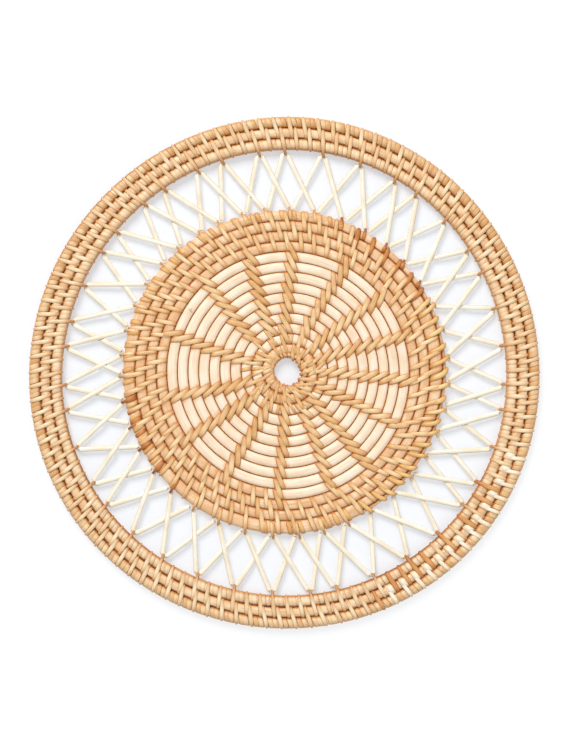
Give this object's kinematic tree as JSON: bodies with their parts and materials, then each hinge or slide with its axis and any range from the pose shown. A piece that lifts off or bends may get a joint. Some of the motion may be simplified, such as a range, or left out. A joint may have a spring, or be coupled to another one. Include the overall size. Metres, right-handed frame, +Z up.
{
  "type": "rattan placemat",
  "caption": "Round rattan placemat: a coiled cane disc laced with crossing strips inside a coiled cane ring, for setting a plate on.",
  "frame": {"origin": "middle of the mat's outline, on the surface it lies on", "axes": "+Z up out of the upper face, normal to the mat; +X and +Y in the plane of the surface, +Y towards the top edge as the mat is shown, +X to its right"},
  "size_m": [0.3794, 0.3806, 0.009],
  "materials": {
    "bound_cane": "honey rattan, closely wrapped with split-cane binding, satin",
    "bare_cane": "peeled natural rattan, cream to pinkish tan, fine grain along the cane, satin",
    "lacing_cane": "pale split cane, matt to satin"
  },
  "bodies": {
    "root": {"coiled_ring": "bound_cane", "coiled_disc": "bare_cane", "lacing_strip_a": "lacing_cane", "lacing_strip_b": "lacing_cane"}
  },
  "joints": []
}
